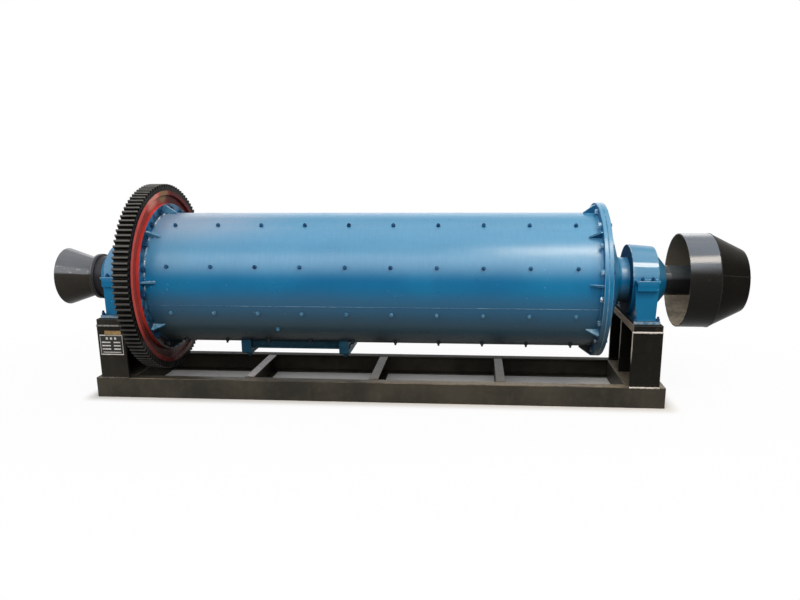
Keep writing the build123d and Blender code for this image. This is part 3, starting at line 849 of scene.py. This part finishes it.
boltForm = {
    "crown": 0.14, "tipCrown": 0.15,  # chamfers, as shares of the radius
    "tipSides": 10, "tipSink": 0.0005, "washerSides": 16, "smooth": 30,
}
hexTurn = 60  # degrees after which a hexagon looks the same


def hexBolt(size):
    half = size["acrossFlats"] / math.sqrt(3)
    washer, height = size["washer"], size["height"]
    deselectAll()
    bpy.ops.mesh.primitive_cylinder_add(
        vertices=6, radius=half, depth=height, location=(0, 0, washer + height / 2))
    bolt = bpy.context.object
    applyPlace(bolt)
    selectFacing(bolt, Vector((0, 0, 1)))
    bpy.ops.mesh.bevel(offset=half * boltForm["crown"], segments=1, affect="EDGES")
    if "tipLength" in size:
        tipMiddle = washer + height + size["tipLength"] / 2 - boltForm["tipSink"]
        bpy.ops.mesh.primitive_cylinder_add(
            vertices=boltForm["tipSides"], radius=size["tipRadius"], depth=size["tipLength"],
            location=(0, 0, tipMiddle))
        bpy.ops.mesh.bevel(offset=size["tipRadius"] * boltForm["tipCrown"], segments=1, affect="EDGES")
    bpy.ops.mesh.primitive_cylinder_add(
        vertices=boltForm["washerSides"], radius=size["washerRadius"], depth=washer,
        location=(0, 0, washer / 2))
    bpy.ops.object.mode_set(mode="OBJECT")
    bpy.ops.object.shade_smooth_by_angle(angle=math.radians(boltForm["smooth"]))
    return bolt


def placeBolts(size, places, name, finishName, body):
    model = hexBolt(size)
    copies = []
    for place in places:
        copy = model.copy()
        copy.data = model.data.copy()
        bpy.context.scene.collection.objects.link(copy)
        copy.matrix_world = place
        copies.append(copy)
    bpy.data.objects.remove(model)
    joinPieces(copies, name, finishName, body)


def outward(degrees):
    angle = math.radians(degrees)  # from level on the camera's side, upwards
    return Vector((0, -math.cos(angle), math.sin(angle)))


def onDrum(x, degrees, radius):
    return drumLine + outward(degrees) * radius + Vector((x, 0, 0))


def placed(spot, direction, up, twist):
    turn = direction.to_track_quat("Z", up).to_matrix().to_4x4()
    return Matrix.Translation(spot) @ turn @ Matrix.Rotation(math.radians(twist), 4, "Z")


def radialPlace(x, degrees, radius, twist=0.0):
    return placed(onDrum(x, degrees, radius), outward(degrees), "X", twist)


def axialPlace(x, degrees, radius, direction, twist):
    return placed(onDrum(x, degrees, radius), Vector((direction, 0, 0)), "Y", twist)


def uprightPlace(x, y, z, twist, down=False):
    turn = Matrix.Rotation(math.pi, 4, "X") if down else Matrix.Identity(4)
    return Matrix.Translation((x, y, z)) @ turn @ Matrix.Rotation(math.radians(twist), 4, "Z")


linerBolts = {
    "columns": 10, "spacing": 0.3, "sink": 0.001, "columnTwist": 37, "rowTwist": 53,
    "rows": ((58, "dark"), (17.5, "dark"), (-22, "pale"), (-62.5, "low")),  # mirrored at the back
    "plug": (-0.638, -39.5),  # one odd plug on the front
    "nut": {"acrossFlats": 0.023, "height": 0.013, "washer": 0.003, "washerRadius": 0.0135,
            "tipRadius": 0.0075},
    "kinds": {  # piece, finish and how far the stud sticks out
        "dark": ("linerBolts", "boltBlue", 0.006),
        "low": ("linerBoltsLow", "boltBlue", 0.013),
        "pale": ("linerBoltsPale", "boltPale", 0.006),
    },
}
nutSeat = shellRadius - linerBolts["sink"]
linerPlaces = {"dark": [], "low": [], "pale": [radialPlace(*linerBolts["plug"], nutSeat)]}
backRows = tuple((180 - degrees, kind) for degrees, kind in linerBolts["rows"])
for row, (degrees, kind) in enumerate(linerBolts["rows"] + backRows):
    for column in range(linerBolts["columns"]):
        x = (column - (linerBolts["columns"] - 1) / 2) * linerBolts["spacing"]
        twist = (linerBolts["columnTwist"] * column + linerBolts["rowTwist"] * row) % hexTurn
        linerPlaces[kind].append(radialPlace(x, degrees, nutSeat, twist))
for kind, (name, finishName, tipLength) in linerBolts["kinds"].items():
    placeBolts(dict(linerBolts["nut"], tipLength=tipLength), linerPlaces[kind], name, finishName, "drum")

flangeBolts = {
    "count": 18, "firstAngle": 14.5, "inset": 0.035, "twist": 41,
    "drumFlange": 0.027, "headFlange": 0.028, "gearWeb": 0.030,
    "head": {"acrossFlats": 0.033, "height": 0.015, "washer": 0.004, "washerRadius": 0.019},
    "nut": {"acrossFlats": 0.024, "height": 0.009, "washer": 0.003, "washerRadius": 0.015},
}
boltCircle = boxOf("right_drum_flange")[1].z - axisHeight - flangeBolts["inset"]
rightNutFace = flangeFace + flangeBolts["drumFlange"] + flangeBolts["headFlange"]
leftNutFace = -rightNutFace - flangeBolts["gearWeb"]
flangeSets = (  # piece, finish, form, and the faces with their directions
    ("leftFlangeBolts", "boltNavy", "head", ((-flangeFace, 1),)),
    ("rightFlangeBolts", "boltMid", "head", ((flangeFace, -1),)),
    ("flangeNuts", "boltBlue", "nut", ((rightNutFace, 1), (leftNutFace, -1))),
)
for name, finishName, form, faces in flangeSets:
    places = []
    for index in range(flangeBolts["count"]):
        degrees = flangeBolts["firstAngle"] + 360 / flangeBolts["count"] * index
        twist = flangeBolts["twist"] * index % hexTurn
        places += [axialPlace(x, degrees, boltCircle, direction, twist) for x, direction in faces]
    placeBolts(flangeBolts[form], places, name, finishName, "drum")

bearingBolts = {
    "ear": {"spread": 0.0335, "y": 0.275, "rise": 0.040, "twist": 20,
            "acrossFlats": 0.024, "height": 0.013, "washer": 0.003, "washerRadius": 0.0145,
            "tipRadius": 0.008, "tipLength": 0.008},
    "foot": {"spread": 0.073, "y": 0.307, "rise": 0.018, "twist": 15,
             "acrossFlats": 0.021, "height": 0.014, "washer": 0.004, "washerRadius": 0.0118,
             "tipRadius": 0.008, "tipLength": 0.014},
}
bearingMiddle = (bearingLow.x + bearingHigh.x) / 2


def bearingPlaces(bolt, level):
    return [
        uprightPlace(end * bearingMiddle + step * bolt["spread"], side * bolt["y"],
                     level + bolt["rise"], step * bolt["twist"])
        for end in (-1, 1) for side in (-1, 1) for step in (-1, 1)
    ]


earPlaces = bearingPlaces(bearingBolts["ear"], axisHeight)
placeBolts(bearingBolts["ear"], earPlaces, "bearingCapBolts", "boltBlue", "base")
footPlaces = bearingPlaces(bearingBolts["foot"], bearingLow.z)
placeBolts(bearingBolts["foot"], footPlaces, "bearingFootBolts", "boltBlue", "base")

clampBolts = {
    "inset": 0.035, "y": 0.12, "twist": 12,
    "nut": {"acrossFlats": 0.034, "height": 0.016, "washer": 0.004, "washerRadius": 0.02,
            "tipRadius": 0.011, "tipLength": 0.010},
}
clampLow, clampHigh = boxOf("manhole_clamps")
clampPlaces = [
    uprightPlace(x, side * clampBolts["y"], clampLow.z, side * clampBolts["twist"], down=True)
    for x in (clampLow.x + clampBolts["inset"], clampHigh.x - clampBolts["inset"]) for side in (-1, 1)
]
placeBolts(clampBolts["nut"], clampPlaces, "manholeClampNuts", "manholeBlue", "drum")
print("bolts placed:", sum(len(places) for places in linerPlaces.values()), "on the shell")


# Weld beads

beadForm = {"sides": 6, "ringUneven": 0.45, "runUneven": 0.35}  # unevenness, as shares of the thickness


def unevenBead(offset, seed):
    bpy.ops.object.mode_set(mode="EDIT")
    bpy.ops.mesh.select_all(action="SELECT")
    bpy.ops.transform.vertex_random(offset=offset, seed=seed)
    bpy.ops.object.mode_set(mode="OBJECT")
    bpy.ops.object.shade_smooth()


def beadRing(x, radius, thickness, segments, seed):
    deselectAll()
    bpy.ops.mesh.primitive_torus_add(
        major_radius=radius, minor_radius=thickness,
        major_segments=segments, minor_segments=beadForm["sides"],
        location=(x, 0, axisHeight), rotation=(0, math.pi / 2, 0))
    bead = bpy.context.object
    applyPlace(bead)
    unevenBead(thickness * beadForm["ringUneven"], seed)
    return bead


def beadRun(start, end, thickness, pitch, seed):
    run = end - start
    deselectAll()
    bpy.ops.mesh.primitive_cylinder_add(vertices=beadForm["sides"], radius=thickness, depth=run.length)
    bead = bpy.context.object
    clearSelection("EDGE")
    for edge in bead.data.edges:
        low, high = (bead.data.vertices[index].co for index in edge.vertices)
        edge.select = abs(low.z - high.z) > run.length / 2
    bpy.ops.object.mode_set(mode="EDIT")
    bpy.ops.mesh.subdivide(number_cuts=max(2, int(run.length / pitch)))
    unevenBead(thickness * beadForm["runUneven"], seed)
    turn = run.to_track_quat("Z", "Y").to_matrix().to_4x4()
    bead.matrix_world = Matrix.Translation((start + end) / 2) @ turn
    applyPlace(bead)
    return bead


def beadRuns(lines, setup, seed):
    return [
        beadRun(Vector(start), Vector(end), setup["bead"], setup["pitch"], seed + index)
        for index, (start, end) in enumerate(lines)
    ]


def seamRun(ends, setup):
    line = [onDrum(x, setup["angle"], radius - setup["sink"]) for x, radius in ends]
    return beadRuns([line], setup, setup["seed"])


flangeWelds = {
    "bead": 0.007, "segments": 220,
    "rows": (  # end, seed, piece and finish
        (-1, 5, "leftFlangeWeld", "weldBlue"),
        (1, 3, "rightFlangeWeld", "blueEnamel"),
    ),
}
for end, seed, name, finishName in flangeWelds["rows"]:
    bead = beadRing(end * flangeFace, shellRadius, flangeWelds["bead"], flangeWelds["segments"], seed)
    joinPieces([bead], name, finishName, "drum")

shellSeam = {"bead": 0.003, "angle": -15.5, "sink": 0.001, "pitch": 0.012, "seed": 7}
seam = seamRun(((-flangeFace, shellRadius), (flangeFace, shellRadius)), shellSeam)
joinPieces(seam, "shellSeam", "seamBlue", "drum")

gussetWelds = {
    "count": 9, "firstAngle": 84.5, "length": 0.078, "half": 0.006,
    "bead": 0.0035, "pitch": 0.01, "seed": 61,
}
sideAngle = math.degrees(gussetWelds["half"] / shellRadius)
weldReach = (flangeFace, flangeFace - gussetWelds["length"])
for end, name, finishName in ((-1, "leftGussetWelds", "weldBlue"), (1, "rightGussetWelds", "blueEnamel")):
    lines = []
    for index in range(gussetWelds["count"]):
        middle = gussetWelds["firstAngle"] + 360 / gussetWelds["count"] * index
        for degrees in (middle - sideAngle, middle + sideAngle):
            lines.append([onDrum(end * x, degrees, shellRadius) for x in weldReach])
    beads = beadRuns(lines, gussetWelds, gussetWelds["seed"])
    joinPieces(beads, name, finishName, "drum")

pedestalWelds = {
    "bead": 0.008, "sink": 0.003, "pitch": 0.01,
    "rows": (  # end, height, first seed, piece and finish
        (-1, ribLow.z, 11, "leftFootWelds", "weldDull"),
        (-1, ribHigh.z, 11, "leftTopWelds", "weldGrey"),
        (1, ribLow.z, 19, "rightFootWelds", "weldPale"),
        (1, ribHigh.z, 19, "rightTopWelds", "barePrimer"),
    ),
}
weldY = ribHigh.y - pedestalWelds["sink"]
for end, z, seed, name, finishName in pedestalWelds["rows"]:
    lines = [((end * ribLow.x, y, z), (end * ribHigh.x, y, z)) for y in (-weldY, weldY)]
    joinPieces(beadRuns(lines, pedestalWelds, seed), name, finishName, "base")

crossWelds = {"bead": 0.004, "sink": 0.001, "pitch": 0.01, "seed": 31}
crossReach = boxOf("rear_beam")[0].y - crossWelds["sink"]
lines = []
for node in ("left_crossbeam", "middle_crossbeam", "right_crossbeam"):
    low, high = boxOf(node)
    lines += [((low.x, y, high.z), (high.x, y, high.z)) for y in (-crossReach, crossReach)]
beads = beadRuns(lines, crossWelds, crossWelds["seed"])
joinPieces(beads, "crossbeamWelds", "weldDull", "base")

feederWelds = {"bead": 0.004, "sink": 0.002, "segments": 160, "seed": 51}
feederSeam = {"bead": 0.003, "angle": 15, "sink": 0.001, "mouthRadius": 0.214, "pitch": 0.01, "seed": 53}
coneLow, coneHigh = boxOf("feeder_cone")
feederRadius = coneHigh.z - axisHeight
ring = beadRing(coneLow.x, feederRadius - feederWelds["sink"], feederWelds["bead"],
                feederWelds["segments"], feederWelds["seed"])
seam = seamRun(((coneLow.x, feederRadius), (coneHigh.x, feederSeam["mouthRadius"])), feederSeam)
joinPieces([ring] + seam, "feederWelds", "weldDark", "drum")
print("weld beads laid")


# Plates on the left pedestal

namePlate = {
    "width": 0.172, "height": 0.146, "middleZ": 0.384, "thickness": 0.003, "easing": 0.001,
    "margin": 0.004, "line": 0.003, "lineFrom": 0.90, "lineTo": 0.965,
}
plateX = -(ribLow.x + ribHigh.x) / 2
plateFront = ribLow.y


def thinPlate(middle, size, width):
    deselectAll()
    bpy.ops.mesh.primitive_cube_add(size=1, location=middle)
    plate = bpy.context.object
    plate.scale = size
    applyPlace(plate)
    easeEdges(plate, width)
    return plate


def addNamePlate(setup):
    plate = thinPlate(
        (plateX, plateFront - setup["thickness"] / 2, setup["middleZ"]),
        (setup["width"], setup["thickness"], setup["height"]), setup["easing"])
    setFinish(plate, "plateBlack", "plateWhite")
    selectFacing(plate, Vector((0, -1, 0)))
    bpy.ops.mesh.inset(thickness=setup["margin"])
    bpy.ops.mesh.inset(thickness=setup["line"])  # the white line round the plate
    bpy.ops.object.mode_set(mode="OBJECT")
    halfX, halfZ = setup["width"] / 2, setup["height"] / 2
    for polygon in plate.data.polygons:
        centre = polygon.center
        reach = max(abs(centre.x - plateX) / halfX, abs(centre.z - setup["middleZ"]) / halfZ)
        if polygon.normal.y < -picking["facing"] and setup["lineFrom"] < reach < setup["lineTo"]:
            polygon.material_index = 1
    claim(plate, "namePlate", "base")


addNamePlate(namePlate)

plateFields = {
    "squares": (-0.03, 0, 0.03), "squareZ": 0.046, "squareSize": 0.016,
    "columns": ((-0.038, 0.062), (0.04, 0.048)), "rows": (0.018, -0.006, -0.030), "barHeight": 0.009,
    "lineZ": -0.053, "lineWidth": 0.13, "lineHeight": 0.005,
    "thickness": 0.001, "sink": 0.0002, "easing": 0.0003,
}


def addPlateFields(setup, plate):
    square = setup["squareSize"]
    fields = [(x, setup["squareZ"], square, square) for x in setup["squares"]]
    fields += [(x, z, wide, setup["barHeight"]) for z in setup["rows"] for x, wide in setup["columns"]]
    fields.append((0, setup["lineZ"], setup["lineWidth"], setup["lineHeight"]))
    y = plateFront - plate["thickness"] - setup["thickness"] / 2 + setup["sink"]
    bars = [
        thinPlate((plateX + x, y, plate["middleZ"] + z), (wide, setup["thickness"], high), setup["easing"])
        for x, z, wide, high in fields
    ]
    joinPieces(bars, "plateFields", "plateWhite", "base")


addPlateFields(plateFields, namePlate)

brassStrip = {"offset": 0.015, "middleZ": 0.4685, "size": (0.118, 0.003, 0.033), "easing": 0.001}
stripY = plateFront - brassStrip["size"][1] / 2
strip = thinPlate(
    (plateX + brassStrip["offset"], stripY, brassStrip["middleZ"]), brassStrip["size"], brassStrip["easing"])
setFinish(strip, "brass")
claim(strip, "brassStrip", "base")
print("plates fixed")


# Floor, backdrop and light

studio = {
    "fill": 0.30, "white": (1, 1, 1, 1),
    "floor": {"size": 120, "pale": rgb(240, 239, 237), "bounce": rgb(128, 124, 118), "rough": 0.95,
              "under": 0.05, "near": 0.95, "nearReach": 0.12, "farReach": 2.6},
    "lamps": {
        "key": {"place": (2.1, -2.92, 5.18), "aim": (1.1, 0, 0.9), "size": (2.0, 1.2), "power": 74,
                "colour": (1.0, 0.86, 0.70)},
        "feed": {"place": (4.0, -2.47, 5.16), "aim": (2.1, 0, 0.9), "size": (2.4, 1.2), "power": 80,
                 "colour": (1.0, 0.88, 0.74)},
        "front": {"place": (-0.4, -6.2, 4.6), "aim": (-0.2, 0, 0.8), "size": (10, 4.6), "power": 235},
        "roof": {"place": (0.2, 0.6, 6.6), "aim": (0.2, 0.5, 0), "size": (9, 5), "power": 50},
        "left": {"place": (-7.5, -3.0, 2.6), "aim": (0.8, 0, 0.7), "size": (3.4, 3.0), "power": 130},
        "back": {"place": (0, 6.0, 3.8), "aim": (0, 0, 0.8), "size": (9, 3), "power": 90},
    },
}


def addFloor(setup):
    deselectAll()
    bpy.ops.mesh.primitive_plane_add(size=setup["size"], location=(0, 0, 0))
    floor = bpy.context.object
    floor.name = "studioFloor"
    ground = Finish("studioFloor", setup)
    ground.feed("Base Color", setup["bounce"])
    ground.feed("Roughness", setup["rough"])
    along = (abs(ground.x) - boxOf("front_beam")[1].x).atLeast(0.0)
    across = (abs(ground.y) - boxOf("rear_beam")[1].y).atLeast(0.0)
    away = (along * along + across * across) ** 0.5
    beside = ground.step(away, 0.0, setup["nearReach"], setup["under"], setup["near"])
    fade = beside + ground.step(away, setup["nearReach"], setup["farReach"], 0.0, 1 - setup["near"])
    pale = ground.node("ShaderNodeBsdfDiffuse", {}, {"Color": setup["pale"]})
    white = ground.node("ShaderNodeEmission", {}, {"Color": studio["white"]})
    shown = ground.node("ShaderNodeMixShader", {}, {0: fade, 1: pale, 2: white})
    bounced = Wire(ground, ground.shader.outputs[0])
    both = ground.node("ShaderNodeMixShader", {}, {0: ground.lookedAt(), 1: bounced, 2: shown})
    ground.put(ground.tree.nodes["Material Output"], "Surface", both)
    floor.data.materials.append(ground.material)


def addWorld(fill):
    world = bpy.data.worlds.new("studioSky")
    bpy.context.scene.world = world
    world.use_nodes = True
    sky = Wiring(world.node_tree)
    backdrop = sky.tree.nodes["Background"]
    strength = {"Value": sky.lookedAt(), "To Min": fill, "To Max": 1.0}
    sky.put(backdrop, "Color", studio["white"])
    sky.put(backdrop, "Strength", sky.node("ShaderNodeMapRange", {}, strength))


def addLamp(name, setup):
    place, aim = Vector(setup["place"]), Vector(setup["aim"])
    bpy.ops.object.light_add(type="AREA", location=place)
    lamp = bpy.context.object
    lamp.name = name
    lamp.rotation_euler = (aim - place).to_track_quat("-Z", "Y").to_euler()
    lamp.data.shape = "RECTANGLE"
    lamp.data.size, lamp.data.size_y = setup["size"]
    lamp.data.energy = setup["power"]
    lamp.data.color = setup.get("colour", studio["white"][:3])


addFloor(studio["floor"])
addWorld(studio["fill"])
for lampName, lampSetup in studio["lamps"].items():
    addLamp(lampName + "Lamp", lampSetup)
bpy.context.scene.view_settings.view_transform = "Standard"
print("studio lit")
